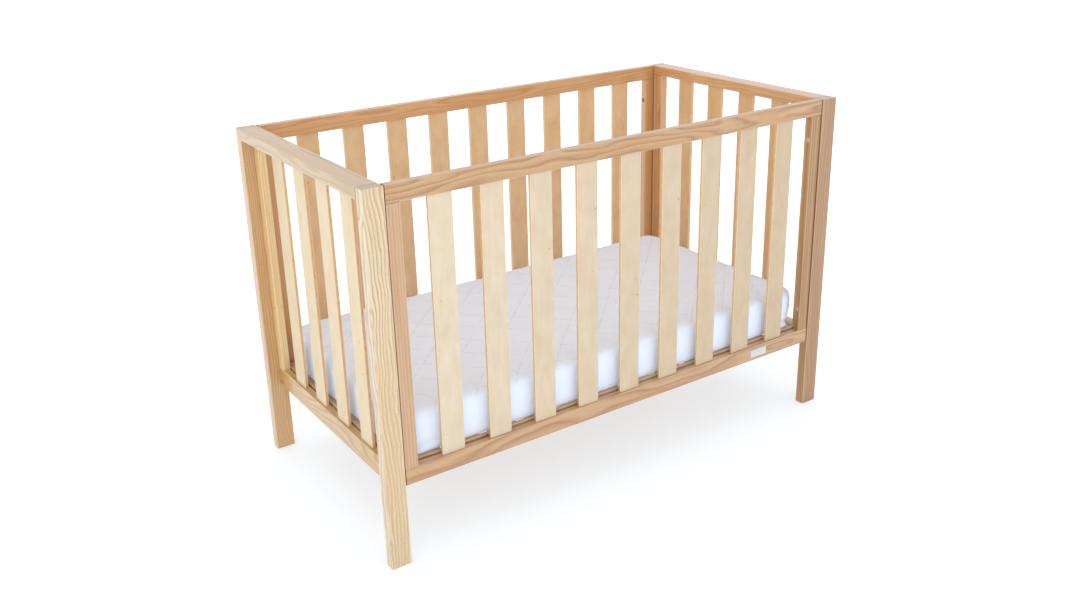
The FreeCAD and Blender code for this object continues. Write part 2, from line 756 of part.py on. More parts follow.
frame_screws = []
slat_screws = []
for face_name, face in FACES:
    middle = in_from_outside(face, "overall_width", f"{base_side_inset} + base_rail_thickness / 2",
                             "0")
    for end_name, end in ENDS:
        seat = in_from_outside(end, "overall_length", f"{base_inset} + screw_head_height", "0")
        for number, drop in enumerate(screw_drops, start=1):
            frame_screws.append(headed(f"frame_screw_{end_name}_{face_name}_{number}", "x", -end,
                                       ("screw_radius", "screw_length"),
                                       ("screw_head_radius", "screw_head_height"),
                                       (seat, middle, f"{base_top} - {drop}")))
    middle = in_from_outside(face, "overall_width", f"{base_side_inset} + {slat_screw_inset}", "0")
    for number in range(int(sheet.get("base_slat_count"))):
        across = f"({number} - (base_slat_count - 1) / 2) * {base_slat_pitch}"
        slat_screws.append(headed(f"slat_screw_{face_name}_{number + 1}", "z", -1,
                                  ("slat_screw_radius", "slat_screw_length"),
                                  ("slat_screw_head_radius", "slat_screw_head_height"),
                                  (across, middle, f"{base_top} - slat_screw_head_height")))
subparts.append(gather("base_frame_screws", frame_screws))
subparts.append(gather("base_slat_screws", slat_screws))


# Mattress: a plain foam block with upright round corners and softened top and bottom edges.

def mattress():
    """Make the mattress, resting on the base."""
    length = "(overall_length - 2 * post_width - 2 * mattress_end_gap)"
    width = "(overall_width - 2 * panel_setback - 2 * rail_thickness - 2 * mattress_side_gap)"
    body = board("mattress", "z", length, width, "mattress_thickness",
                 (f"-{length} / 2", f"-{width} / 2", base_top), "mattress_corner")
    round_edges(body, "mattress_level", level_edges(body.Shape), "mattress_edge")
    return body


subparts.append(mattress())


# Blank plate, stuck to the right of the front bottom rail.

badge_place = (f"{long_span} / 2 - badge_inset - badge_length",
               "-overall_width / 2 + panel_setback - badge_thickness",
               "bottom_rail_top - long_rail_height / 2 - badge_height / 2")
subparts.append(board("badge_plate", "y", "badge_length", "badge_height", "badge_thickness",
                      badge_place, "badge_corner"))

document.recompute()

# Nothing is written unless every object is sound.
for item in document.Objects:
    if {"Invalid", "Error"} & set(item.State):
        raise RuntimeError(f"{item.Name} is {item.State}")
for piece in subparts:
    if piece.Shape.isNull() or not piece.Shape.isValid():
        raise RuntimeError(f"{piece.Label} has no sound shape")

os.makedirs("parts", exist_ok=True)
for piece in subparts:
    piece.Shape.exportStep(f"parts/{piece.Label}.step")
print(len(subparts), "sub-parts written")
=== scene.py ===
import math

import bpy
import numpy as np
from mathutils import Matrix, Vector


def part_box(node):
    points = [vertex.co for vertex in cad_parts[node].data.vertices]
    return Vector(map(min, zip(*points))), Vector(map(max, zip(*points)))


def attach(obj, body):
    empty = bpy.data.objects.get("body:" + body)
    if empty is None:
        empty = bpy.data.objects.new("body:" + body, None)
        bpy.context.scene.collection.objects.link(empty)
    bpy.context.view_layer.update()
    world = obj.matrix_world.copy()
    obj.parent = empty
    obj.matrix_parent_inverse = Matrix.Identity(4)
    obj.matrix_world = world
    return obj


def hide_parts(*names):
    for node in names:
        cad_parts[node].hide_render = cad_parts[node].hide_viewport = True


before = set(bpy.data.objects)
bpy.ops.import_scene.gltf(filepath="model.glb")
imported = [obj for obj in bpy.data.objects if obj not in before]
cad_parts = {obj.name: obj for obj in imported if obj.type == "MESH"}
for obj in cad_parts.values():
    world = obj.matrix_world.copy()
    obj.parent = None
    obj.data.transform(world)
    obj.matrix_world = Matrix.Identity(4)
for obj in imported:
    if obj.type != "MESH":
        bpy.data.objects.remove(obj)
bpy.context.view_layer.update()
scene = bpy.context.scene


# Studio.  The crib stands on a pale floor that runs out of sight, in the even light of a white
# room: soft boxes before its left end, to the right and overhead only shape it a little.

def linear(code):
    """Linear colour of an sRGB hex code: c / 12.92 up to 0.04045, else ((c + 0.055) / 1.055) ^ 2.4."""
    parts = [int(code[place:place + 2], 16) / 255 for place in (1, 3, 5)]
    return [c / 12.92 if c <= 0.04045 else ((c + 0.055) / 1.055) ** 2.4 for c in parts] + [1.0]


def add(tree, kind, inputs=None, stops=None, **settings):
    """Add a node.  An input is a value, a socket, or a node whose first output is used.

    Inputs are named, or numbered where their names repeat; stops are a colour ramp's greys.
    """
    node = tree.nodes.new("ShaderNode" + kind)
    for name, value in settings.items():
        setattr(node, name, value)
    for number, (place, grey) in enumerate(stops or ()):
        elements = node.color_ramp.elements
        stop = elements[number] if number < 2 else elements.new(place)
        stop.position = place
        stop.color = (grey, grey, grey, 1.0)
    for name, value in (inputs or {}).items():
        if isinstance(name, int):
            socket = node.inputs[name]
        else:
            socket = next(each for each in node.inputs if each.enabled and each.name == name)
        if isinstance(value, bpy.types.Node):
            value = next(each for each in value.outputs if each.enabled)
        if isinstance(value, bpy.types.NodeSocket):
            tree.links.new(value, socket)
        else:
            socket.default_value = value
    return node


def material(name):
    """Make an empty material and give it back with its node tree."""
    made = bpy.data.materials.new(name)
    made.use_nodes = True
    made.node_tree.nodes.clear()
    return made, made.node_tree


def new_object(name, vertices, faces):
    """Make an object at the origin from an array of corners and an array of faces."""
    mesh = bpy.data.meshes.new(name)
    mesh.from_pydata(vertices.tolist(), [], faces.tolist())
    mesh.update()
    made = bpy.data.objects.new(name, mesh)
    scene.collection.objects.link(made)
    return made


def camera():
    """Stand the camera before the crib's left end, looking down across it."""
    lens = bpy.data.cameras.new("camera")
    lens.sensor_width = 36.0
    lens.lens = 36.0
    lens.shift_x = -0.0041
    lens.shift_y = -0.0310
    lens.clip_end = 60.0
    made = bpy.data.objects.new("camera", lens)
    made.location = (-1.4828, -2.1409, 1.4164)
    made.rotation_euler = [math.radians(angle) for angle in (69.407, 1.200, -34.879)]
    scene.collection.objects.link(made)
    scene.camera = made


def floor():
    """Lay the floor as a disc: points at radius r and angle t for a ring of t.

    It is seamless matt paper, lit from below by a faintly blue light against the wood's warm one,
    more strongly the further it is from the crib.
    """
    turn = np.linspace(0, 2 * np.pi, 96, endpoint=False)
    corners = np.stack([60 * np.cos(turn), 60 * np.sin(turn), np.zeros_like(turn)], axis=1)
    made = new_object("floor", corners, np.arange(96).reshape(1, -1))
    finish, tree = material("matt white paper")
    cloud = add(tree, "TexNoise", {"Scale": 3.0, "Detail": 3.0})
    tone = add(tree, "Mix", {"Factor": cloud, "A": linear("#F1F5FA"), "B": linear("#F6F9FD")},
               data_type="RGBA")
    where = add(tree, "TexCoord")
    away = add(tree, "VectorMath", {0: where.outputs["Object"]}, operation="LENGTH")
    glow = add(tree, "MapRange", {"Value": away, "From Min": 0.7, "From Max": 3.5,
                                  "To Min": 0.36, "To Max": 0.62},
               interpolation_type="SMOOTHSTEP")
    shader = add(tree, "BsdfPrincipled", {
        "Base Color": tone, "Roughness": 0.9, "Specular IOR Level": 0.1,
        "Emission Color": linear("#E5F5FF"), "Emission Strength": glow})
    add(tree, "OutputMaterial", {"Surface": shader})
    made.data.materials.append(finish)


def soft_box(name, place, target, size, power, tone):
    """Hang a square lamp at a place, facing a target."""
    lamp = bpy.data.lights.new(name, "AREA")
    lamp.shape = "SQUARE"
    lamp.size = size
    lamp.energy = power
    lamp.color = linear(tone)[:3]
    made = bpy.data.objects.new(name, lamp)
    made.location = place
    made.rotation_euler = (Vector(target) - Vector(place)).to_track_quat("-Z", "Y").to_euler()
    scene.collection.objects.link(made)


def room():
    """Light the room evenly: white at the horizon and a little less overhead."""
    world = bpy.data.worlds.new("studio")
    world.use_nodes = True
    scene.world = world
    world.node_tree.nodes.clear()
    tree = world.node_tree
    where = add(tree, "TexCoord")
    height = add(tree, "SeparateXYZ", {"Vector": where.outputs["Generated"]})
    strength = add(tree, "MapRange", {"Value": height.outputs["Z"], "From Min": 0.0,
                                      "From Max": 0.7, "To Min": 1.02, "To Max": 0.82})
    light = add(tree, "Background", {"Color": linear("#FFFFFF"), "Strength": strength})
    add(tree, "OutputWorld", {"Surface": light})


scene.view_settings.view_transform = "Standard"
camera()
floor()
room()
soft_box("key light", (-3.2, -2.6, 2.0), (-0.3, 0.0, 0.5), 2.2, 13, "#FFF3E0")
soft_box("fill light", (2.6, -3.4, 1.8), (0.0, 0.0, 0.5), 2.0, 3, "#F8FAFF")
soft_box("top light", (0.0, 0.3, 3.6), (0.0, 0.0, 0.3), 2.6, 14, "#F4F7FF")


# Frame of the crib.  Planed pine boards under a clear satin lacquer.  A board shows its log's
# growth rings, nearly straight where it was cut across them and in arches where it was cut along.

RUN_X, RUN_Y, RUN_Z = 0, 1, 2
MILLIMETRES = 1000.0
# How squarely a surface faces along an axis: on a rounded edge, on a flat, and from where to where
# it turns into a board's sawn end.
ROUNDED, FLAT = 0.80, 0.99
END_GRAIN = (0.75, 0.95)


def along_board(tree, node, run):
    """Place in a board in mm from its middle, and its surface's direction.

    Each comes as two directions across the board and then the one along it.
    """
    low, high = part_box(node)
    where = add(tree, "TexCoord")
    moved = add(tree, "VectorMath", {0: where.outputs["Object"], 1: (low + high) / 2},
                operation="SUBTRACT")
    scaled = add(tree, "VectorMath", {0: moved, "Scale": MILLIMETRES}, operation="SCALE")
    parts = add(tree, "SeparateXYZ", {"Vector": scaled})
    facing = add(tree, "VectorMath", {0: where.outputs["Normal"]}, operation="ABSOLUTE")
    faces = add(tree, "SeparateXYZ", {"Vector": facing})
    order = ["XYZ"[(run + step) % 3] for step in (1, 2, 3)]
    place = [parts.outputs[axis] for axis in order]
    board = add(tree, "CombineXYZ", {"X": place[0], "Y": place[1], "Z": place[2]})
    return board, place, [faces.outputs[axis] for axis in order]


def grain(tree, board, seed, patterns):
    """Cloudy patterns drawn out along the board; each has its size across and along it in mm."""
    made = {}
    for number, (name, (across, along, detail)) in enumerate(patterns.items()):
        place = add(tree, "Mapping", {"Vector": board,
                                      "Location": (seed, number * 17.0, seed * 2),
                                      "Scale": (1 / across, 1 / across, 1 / along)})
        made[name] = add(tree, "TexNoise", {"Vector": place, "Scale": 1.0, "Detail": detail,
                                            "Roughness": 0.55})
    return made


def pine(name, node, run, cut, tones):
    """Make planed and lacquered pine for one board.

    cut holds where the log's heart lies in mm from the board's middle, the width of a year's
    growth, how far the rings stray and over what length, all in mm, and how dark their lines are.
    A point's ring number is its distance from the wandering heart divided by the width of a year.
    The lacquer is a clear satin coat, which greys the top faces where they catch the room's light
    at a low angle.
    """
    heart, ring, wander, stretch, contrast = cut
    made, tree = material(name)
    board, _, faces = along_board(tree, node, run)
    seed = (sum(map(ord, node)) % 97) * 7.3
    early, late, warm = (linear(tone) for tone in tones)
    # A fibre is 0.03 mm wide and resin canals are 0.2 mm: both are drawn coarser, so that they show.
    wood = grain(tree, board, seed, {
        "stray": (75, stretch, 1.0), "ripple": (24, stretch / 3, 1.0), "vary": (40, 500, 1.0),
        "streak": (24, 380, 2.0), "fibre": (1.8, 55, 3.0), "canal": (1.2, 9, 0.0)})
    swing = add(tree, "VectorMath", {
        0: wood["stray"].outputs["Color"], 1: (wander, wander, 0),
        2: (-heart[0] - wander / 2, -heart[1] - wander / 2, 0)}, operation="MULTIPLY_ADD")
    reach = add(tree, "VectorMath", {0: board, 1: (1, 1, 0), 2: swing}, operation="MULTIPLY_ADD")
    radius = add(tree, "VectorMath", {0: reach}, operation="LENGTH")
    wave = add(tree, "Math", {0: wood["ripple"], 1: ring * 1.2, 2: radius},
               operation="MULTIPLY_ADD")
    number = add(tree, "Math", {0: wave, 1: ring}, operation="DIVIDE")
    year = add(tree, "Math", {0: number}, operation="FRACT")
    # Each year starts pale and open and ends in a thin hard dark line.
    density = add(tree, "ValToRGB", {"Fac": year}, (
        (0.0, 0.5), (0.16, 0.0), (0.45, 0.15), (0.72, 0.5), (0.90, 1.0), (1.0, 0.62)))
    depth = add(tree, "MapRange", {"Value": wood["vary"], "From Min": 0.3, "From Max": 0.7,
                                   "To Min": 0.6 * contrast, "To Max": contrast})
    rings = add(tree, "Math", {0: density, 1: depth}, operation="MULTIPLY")
    ringed = add(tree, "Mix", {"Factor": rings, "A": early, "B": late}, data_type="RGBA")
    glowing = add(tree, "MapRange", {"Value": wood["streak"], "From Min": 0.45, "From Max": 0.75,
                                     "To Max": 0.7}, interpolation_type="SMOOTHSTEP")
    streaked = add(tree, "Mix", {"Factor": glowing, "A": ringed, "B": warm}, data_type="RGBA")
    shade = add(tree, "MapRange", {"Value": wood["fibre"], "From Min": 0.25, "From Max": 0.75,
                                   "To Min": 0.94, "To Max": 1.05})
    fibrous = add(tree, "Mix", {"Factor": 1.0, "A": streaked, "B": shade}, data_type="RGBA",
                  blend_type="MULTIPLY")
    flecks = add(tree, "MapRange", {"Value": wood["canal"], "From Min": 0.70, "From Max": 0.80,
                                    "To Max": 0.4})
    flecked = add(tree, "Mix", {"Factor": flecks, "A": fibrous, "B": linear("#A8713F")},
                  data_type="RGBA")
    sawn = add(tree, "MapRange", {"Value": faces[2], "From Min": END_GRAIN[0],
                                  "From Max": END_GRAIN[1], "To Max": 0.85})
    ended = add(tree, "Mix", {"Factor": sawn, "A": flecked, "B": linear("#A08566")},
                data_type="RGBA")
    broad = add(tree, "Math", {0: faces[0], 1: faces[1]}, operation="MAXIMUM")
    flattest = add(tree, "Math", {0: broad, 1: faces[2]}, operation="MAXIMUM")
    # The rounded edges are lightened towards #F4E6CB: a painted highlight, which also stands for wear
    # along the edges.
    painted_edge_highlight = add(tree, "MapRange", {"Value": flattest, "From Min": FLAT, "From Max": ROUNDED,
                                   "To Max": 0.35})
    colour = add(tree, "Mix", {"Factor": painted_edge_highlight, "A": ended, "B": linear("#F4E6CB")},
                 data_type="RGBA")
    rough = add(tree, "Math", {0: wood["fibre"], 1: 0.16, 2: 0.38}, operation="MULTIPLY_ADD")
    groove = add(tree, "Math", {0: rings, 1: -0.5}, operation="MULTIPLY")
    relief = add(tree, "Math", {0: wood["fibre"], 1: 0.6, 2: groove}, operation="MULTIPLY_ADD")
    bump = add(tree, "Bump", {"Height": relief, "Strength": 0.22, "Distance": 0.0004})
    shader = add(tree, "BsdfPrincipled", {
        "Base Color": colour, "Roughness": rough, "Normal": bump, "IOR": 1.5,
        "Coat Weight": 1.0, "Coat Roughness": 0.18})
    add(tree, "OutputMaterial", {"Surface": shader})
    return made


def paint(node, finish):
    """Give a CAD node a material of its own."""
    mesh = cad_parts[node].data
    mesh.materials.clear()
    mesh.materials.append(finish)
    mesh.polygons.foreach_set("material_index", np.zeros(len(mesh.polygons), dtype=np.int32))


# Tones of a board's early growth, late growth and warm streaks.
CREAM = ("#E4D2AE", "#BA8856", "#D8B684")
PALE = ("#EECF98", "#CE9C60", "#E2B578")
STRAW = ("#CAA872", "#AA7A44", "#BE9052")
HONEY = ("#D8B07C", "#AB7846", "#CE9656")
BUTTER = ("#D2A862", "#A67038", "#C88E44")
GOLD = ("#CCA06C", "#9C6A3C", "#C08848")
AMBER = ("#B6864A", "#8A5828", "#A87030")
# ORANGE goes on the boards seen inside the crib at its back and right end: its warmth is partly their
# wood and partly painted warm shade.
ORANGE = ("#D8A468", "#B0753E", "#CC8D4C")
ROSY = ("#B68854", "#875830", "#A8703A")
TAN = ("#CEA474", "#9D6940", "#B88150")
PINK = ("#D2AA82", "#A27044", "#C0905F")
# Each board's direction, its cut from the log, and its tones.
BOARDS = {
    "post_front_left": (RUN_Z, ((58, 34), 6.4, 26, 160, 1.1), CREAM),
    "post_front_right": (RUN_Z, ((-30, 30), 5.0, 22, 420, 0.85), ROSY),
    "post_back_left": (RUN_Z, ((26, -20), 6.0, 30, 320, 0.85), HONEY),
    "post_back_right": (RUN_Z, ((-12, -30), 5.4, 28, 320, 0.85), HONEY),
    "front_top_rail": (RUN_X, ((24, 12), 8.0, 60, 400, 1.0), GOLD),
    "front_bottom_rail": (RUN_X, ((20, -12), 8.5, 56, 460, 0.9), TAN),
    "back_top_rail": (RUN_X, ((-26, 14), 6.5, 44, 420, 0.85), ORANGE),
    "back_bottom_rail": (RUN_X, ((22, 10), 6.5, 44, 420, 0.85), HONEY),
    "front_stile_left": (RUN_Z, ((60, 4), 7.0, 9, 900, 0.75), PINK),
    "front_stile_right": (RUN_Z, ((30, 22), 8.0, 16, 700, 1.0), AMBER),
    "back_stile_left": (RUN_Z, ((40, -12), 4.0, 8, 900, 0.7), ORANGE),
    "back_stile_right": (RUN_Z, ((-40, 10), 4.0, 8, 900, 0.7), ORANGE),
    "end_top_rail_left": (RUN_Y, ((26, 20), 6.0, 36, 380, 0.8), STRAW),
    "end_top_rail_right": (RUN_Y, ((-26, 24), 6.0, 36, 380, 0.8), ORANGE),
    "end_bottom_rail_left": (RUN_Y, ((24, 22), 7.0, 40, 380, 0.9), BUTTER),
    "end_bottom_rail_right": (RUN_Y, ((24, -22), 7.0, 40, 380, 0.85), HONEY),
    "end_stile_left_front": (RUN_Z, ((34, 10), 4.6, 18, 320, 0.75), CREAM),
    "end_stile_left_back": (RUN_Z, ((-34, 14), 4.6, 18, 320, 0.75), PALE),
    "end_stile_right_front": (RUN_Z, ((34, -12), 4.6, 18, 320, 0.75), ORANGE),
    "end_stile_right_back": (RUN_Z, ((-34, -10), 4.6, 18, 320, 0.75), ORANGE),
}
for node, (run, cut, tones) in BOARDS.items():
    paint(node, pine(f"lacquered pine {node}", node, run, cut, tones))


# Slats.  Thin pale birch slats, pressed from five veneers: their faces show hardly any figure but
# a few pin knots, and their sawn edges show the browner veneers and glue lines.

THIN_X, THIN_Y = 0, 1
PLY_PAIR = 3.2
KNOT_CELL = 95


def birch(name, node, thin, tones, seed):
    """Make sliced and lacquered birch for one upright slat; thin is the axis of its thickness.

    tones are two for the face and two for the sawn edge.  Pin knots sit in some cells of a 95 mm
    net, each a dark core in a warm ring.
    """
    made, tree = material(name)
    board, place, faces = along_board(tree, node, RUN_Z)
    wide = 1 - thin
    pale, deep, sawn_pale, sawn_deep = (linear(tone) for tone in tones)
    # Birch fibres are far too fine to show, so they are drawn about 1.5 mm wide.
    wood = grain(tree, board, seed * 3.7, {
        "cloud": (36, 60, 3.0), "veneer": (60, 420, 1.0), "fibre": (1.5, 24, 3.0),
        "speck": (2.5, 14, 2.0)})
    cloudy = add(tree, "MapRange", {"Value": wood["cloud"], "From Min": 0.2, "From Max": 0.8})
    face = add(tree, "Mix", {"Factor": cloudy, "A": pale, "B": deep}, data_type="RGBA")
    folds = add(tree, "Math", {0: wood["veneer"], 1: 44.0}, operation="MULTIPLY")
    fold = add(tree, "Math", {0: folds}, operation="SINE")
    figure = add(tree, "MapRange", {"Value": fold, "From Min": 0.2, "From Max": 1.0,
                                    "To Max": 0.07}, interpolation_type="SMOOTHSTEP")
    figured = add(tree, "Mix", {"Factor": figure, "A": face, "B": linear("#CFA06C")},
                  data_type="RGBA")
    shade = add(tree, "MapRange", {"Value": wood["fibre"], "From Min": 0.25, "From Max": 0.75,
                                   "To Min": 0.97, "To Max": 1.025})
    fibrous = add(tree, "Mix", {"Factor": 1.0, "A": figured, "B": shade}, data_type="RGBA",
                  blend_type="MULTIPLY")
    spot = add(tree, "CombineXYZ", {"X": place[wide], "Y": place[2], "Z": 0.0})
    cells = add(tree, "VectorMath", {0: spot, 1: (1 / KNOT_CELL, 1 / KNOT_CELL, 0),
                                     2: (seed * 3.1, seed * 1.7, 0)}, operation="MULTIPLY_ADD")
    knots = add(tree, "TexVoronoi", {"Vector": cells, "Scale": 1.0}, voronoi_dimensions="2D")
    chosen = add(tree, "SeparateColor", {"Color": knots.outputs["Color"]})
    present = add(tree, "Math", {0: chosen.outputs["Red"], 1: 0.40}, operation="GREATER_THAN")
    size = add(tree, "Math", {0: chosen.outputs["Green"], 1: 0.014, 2: 0.007},
               operation="MULTIPLY_ADD")
    reach = add(tree, "Math", {0: knots.outputs["Distance"], 1: size}, operation="DIVIDE")
    ring = add(tree, "MapRange", {"Value": reach, "From Min": 4.2, "From Max": 1.0,
                                  "To Max": 0.30}, interpolation_type="SMOOTHSTEP")
    core = add(tree, "MapRange", {"Value": reach, "From Min": 1.2, "From Max": 0.7,
                                  "To Max": 0.75}, interpolation_type="SMOOTHSTEP")
    ring_here = add(tree, "Math", {0: ring, 1: present}, operation="MULTIPLY")
    core_here = add(tree, "Math", {0: core, 1: present}, operation="MULTIPLY")
    ringed = add(tree, "Mix", {"Factor": ring_here, "A": fibrous, "B": linear("#D6A267")},
                 data_type="RGBA")
    knotted = add(tree, "Mix", {"Factor": core_here, "A": ringed, "B": linear("#94602F")},
                  data_type="RGBA")
    side = add(tree, "MapRange", {"Value": faces[wide], "From Min": 0.6, "From Max": 0.85})
    pairs = add(tree, "Math", {0: place[thin], 1: 1 / PLY_PAIR}, operation="MULTIPLY")
    ply = add(tree, "Math", {0: pairs, 1: 1.0}, operation="PINGPONG")
    cross_ply = add(tree, "MapRange", {"Value": ply, "From Min": 0.4, "From Max": 0.6})
    worn = add(tree, "MapRange", {"Value": wood["speck"], "From Min": 0.35, "From Max": 0.7})
    brown = add(tree, "Mix", {"Factor": worn, "A": sawn_pale, "B": sawn_deep}, data_type="RGBA")
    plies = add(tree, "Mix", {"Factor": cross_ply, "A": brown, "B": sawn_pale},
                data_type="RGBA")
    sided = add(tree, "Mix", {"Factor": side, "A": knotted, "B": plies}, data_type="RGBA")
    sawn = add(tree, "MapRange", {"Value": faces[2], "From Min": END_GRAIN[0],
                                  "From Max": END_GRAIN[1]})
    ended = add(tree, "Mix", {"Factor": sawn, "A": sided, "B": linear("#B98A58")},
                data_type="RGBA")
    flattest = add(tree, "Math", {0: faces[0], 1: faces[1]}, operation="MAXIMUM")
    # The rounded edges are lightened towards #F6EAD2: a painted highlight, which also stands for wear
    # along the edges.
    painted_edge_highlight = add(tree, "MapRange", {"Value": flattest, "From Min": FLAT, "From Max": ROUNDED,
                                   "To Max": 0.6})
    colour = add(tree, "Mix", {"Factor": painted_edge_highlight, "A": ended, "B": linear("#F6EAD2")},
                 data_type="RGBA")
    rough = add(tree, "Math", {0: wood["cloud"], 1: 0.12, 2: 0.42}, operation="MULTIPLY_ADD")
    bump = add(tree, "Bump", {"Height": wood["fibre"], "Strength": 0.12, "Distance": 0.0003})
    shader = add(tree, "BsdfPrincipled", {
        "Base Color": colour, "Roughness": rough, "Normal": bump, "IOR": 1.5,
        "Coat Weight": 0.4, "Coat Roughness": 0.3})
    add(tree, "OutputMaterial", {"Surface": shader})
    return made


def between(first, second, share):
    """Hex colour between two others."""
    parts = [[int(code[place:place + 2], 16) for place in (1, 3, 5)] for code in (first, second)]
    return "#" + "".join(f"{round(a + (b - a) * share):02X}" for a, b in zip(*parts))


# Pale slats in front and at the left end, browner and more orange ones behind and at the right end: the
# browner tones are painted warm shade inside the crib, and the front row is painted darker towards the
# right.
SAWN = ("#E6BC8A", "#CC9664")
FRONT_SLATS = (("#E6D6BE", "#DAC4A2"), ("#D4BEA0", "#C9AC88"))
BACK_SLATS = (("#E8C698", "#D8AA78"), ("#EAC696", "#DAAC78"))
LEFT_SLATS = (("#E8D4B0", "#DEC398"), ("#E4CFAA", "#DABE92"))
RIGHT_SLATS = (("#E2B880", "#D09C64"), ("#E2BC88", "#D2A26C"))
SLATS = [("front_slat", THIN_Y, 9, FRONT_SLATS), ("back_slat", THIN_Y, 9, BACK_SLATS),
         ("end_slat_left", THIN_X, 4, LEFT_SLATS), ("end_slat_right", THIN_X, 4, RIGHT_SLATS)]
for row, (kind, thin, count, (first, last)) in enumerate(SLATS):
    for number in range(1, count + 1):
        share = (number - 1) / (count - 1)
        tones = [between(a, b, share) for a, b in zip(first, last)]
        node = f"{kind}_{number}"
        paint(node, birch(f"lacquered birch {node}", node, thin, (*tones, *SAWN),
                          row * 9.0 + number))


# Bolts and screws.  Zinc-plated machine bolts with a domed head and a hexagon socket hold the long
# sides and carry the base, and cross-head wood screws hold the base together.

def zinc_plate(name):
    """Make tumbled zinc plate over steel: light grey with a soft, slightly cloudy mirror.

    The tumbling scratches are 0.05 mm apart and are drawn at about 1 mm.
    """
    made, tree = material(name)
    where = add(tree, "TexCoord")
    scratch = add(tree, "TexNoise", {"Vector": where.outputs["Object"], "Scale": 1000.0,
                                     "Detail": 2.0})
    cloud = add(tree, "TexNoise", {"Vector": where.outputs["Object"], "Scale": 150.0})
    colour = add(tree, "Mix", {"Factor": cloud, "A": linear("#DADBDC"), "B": linear("#ECEDEE")},
                 data_type="RGBA")
    rough = add(tree, "Math", {0: scratch, 1: 0.2, 2: 0.18}, operation="MULTIPLY_ADD")
    bump = add(tree, "Bump", {"Height": scratch, "Strength": 0.1, "Distance": 0.0001})
    shader = add(tree, "BsdfPrincipled", {"Base Color": colour, "Metallic": 0.6,
                                          "Roughness": rough, "Normal": bump})
    add(tree, "OutputMaterial", {"Surface": shader})
    return made


def keep_modifiers(piece):
    """Turn the piece's modifiers into its mesh."""
    graph = bpy.context.evaluated_depsgraph_get()
    solid = bpy.data.meshes.new_from_object(piece.evaluated_get(graph))
    piece.modifiers.clear()
    piece.data = solid


def turned(name, node, places, shank, head, thread, socket):
    """Make bolts or screws, each a profile carried round its axis.

    places are pairs of a point under the head and the shank's direction.  shank is its radius and
    length, head its radius and height and its flat's radius and crown, thread its pitch, depth and
    start, and socket its outline and depth.

    A point is place + s * axis + r * (cos t, sin t).  The profile runs from the socket's floor,
    up its wall, over a head whose crown follows (1 - cos a, sin a), and along the shank to the
    tip.  On the socket's rows r is the socket's outline at t, and on the thread's rows it is
    reduced by a triangle wave of s / pitch - t / turn, which is a helix.
    """
    shank_radius, shank_length = shank
    head_radius, head_height, flat_radius, crown = head
    pitch, depth, first_turn = thread
    outline, socket_depth = socket
    bow = np.linspace(0, np.pi / 2, 6)
    turns = np.arange(first_turn, shank_length - pitch, pitch / 5)
    rows = np.array(
        [(socket_depth - head_height, 0, 0, 0)]
        + [(socket_depth - head_height, 1, 1, 0), (-head_height, 1, 1, 0)]
        + [(crown * (1 - math.cos(a)) - head_height,
            flat_radius + (head_radius - flat_radius) * math.sin(a), 0, 0) for a in bow]
        + [(0, head_radius, 0, 0), (0, shank_radius, 0, 0), (first_turn * 0.9, shank_radius, 0, 0)]
        + [(along, shank_radius, 0, 1) for along in turns]
        + [(shank_length - pitch * 0.6, shank_radius - depth, 0, 0),
           (shank_length, shank_radius * 0.6, 0, 0), (shank_length, 0, 0, 0)])
    sides = 24
    angle = np.arange(sides) * 2 * np.pi / sides
    along, radius, in_socket, threaded = (rows[:, column, None] for column in range(4))
    wave = (along / pitch - angle / (2 * np.pi)) % 1.0
    radius = np.where(in_socket > 0, outline(angle), radius)
    radius = radius - threaded * depth * np.abs(2 * wave - 1)
    here = np.arange(len(rows) - 1)[:, None] * sides + np.arange(sides)
    beside = np.arange(len(rows) - 1)[:, None] * sides + (np.arange(sides) + 1) % sides
    faces = np.stack([here, beside, beside + sides, here + sides], axis=-1).reshape(-1, 4)
    corners = []
    for point, direction in places:
        axis = np.array(direction, dtype=float)
        first = np.roll(axis, 1) * np.sign(axis.sum())
        second = np.cross(axis, first)
        corners.append((np.array(point) + along[..., None] * axis
                        + (radius * np.cos(angle))[..., None] * first
                        + (radius * np.sin(angle))[..., None] * second).reshape(-1, 3))
    step = len(rows) * sides
    made = new_object(name, np.concatenate(corners),
                      np.concatenate([faces + step * number for number in range(len(places))]))
    closed = made.modifiers.new("closed poles", "WELD")
    closed.merge_threshold = 1e-6
    keep_modifiers(made)
    crisp = made.modifiers.new("crisp edges", "EDGE_SPLIT")
    crisp.split_angle = math.radians(40)
    made.data.polygons.foreach_set("use_smooth", np.ones(len(made.data.polygons), dtype=bool))
    made.data.materials.append(zinc_plate(f"zinc plated steel {name}"))
    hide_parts(node)
    return made


def hexagon(width):
    """Outline of a hexagon socket: half the width over the cosine of the angle from its flat."""
    return lambda angle: width / 2 / np.cos(angle % (np.pi / 3) - np.pi / 6)


def cross(width):
    """Outline of a cross recess: half the width times 0.35 + 0.65 * |cos 2t| ^ 6."""
    return lambda angle: width / 2 * (0.35 + 0.65 * np.abs(np.cos(2 * angle)) ** 6)


# Each kind's sizes, and where it sits: up from a rail's top or down from the crib's or the base's,
# and in from the face that its head is sunk into.
HEX_KEY = 0.004
M6_PITCH, M6_DEPTH = 0.001, 0.0004
PANEL_BOLT_RISE, PANEL_BOLT_DROP, PANEL_BOLT_RECESS = 0.061, 0.100, 0.011
PANEL_BOLT = {"shank": (0.003, 0.0345), "head": (0.0055, 0.005, 0.0032, 0.0024),
              "thread": (M6_PITCH, M6_DEPTH, 0.012), "socket": (hexagon(HEX_KEY), 0.0025)}
SUPPORT_DROP, SUPPORT_RECESS = 0.036, 0.006
SUPPORT_BOLT = {"shank": (0.003, 0.027), "head": (0.005, 0.004, 0.003, 0.002),
                "thread": (M6_PITCH, M6_DEPTH, 0.002), "socket": (hexagon(HEX_KEY), 0.0022)}
SIDES = (("left", -1), ("right", 1))
rail_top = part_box("front_bottom_rail")[1].z
crib_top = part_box("front_top_rail")[1].z

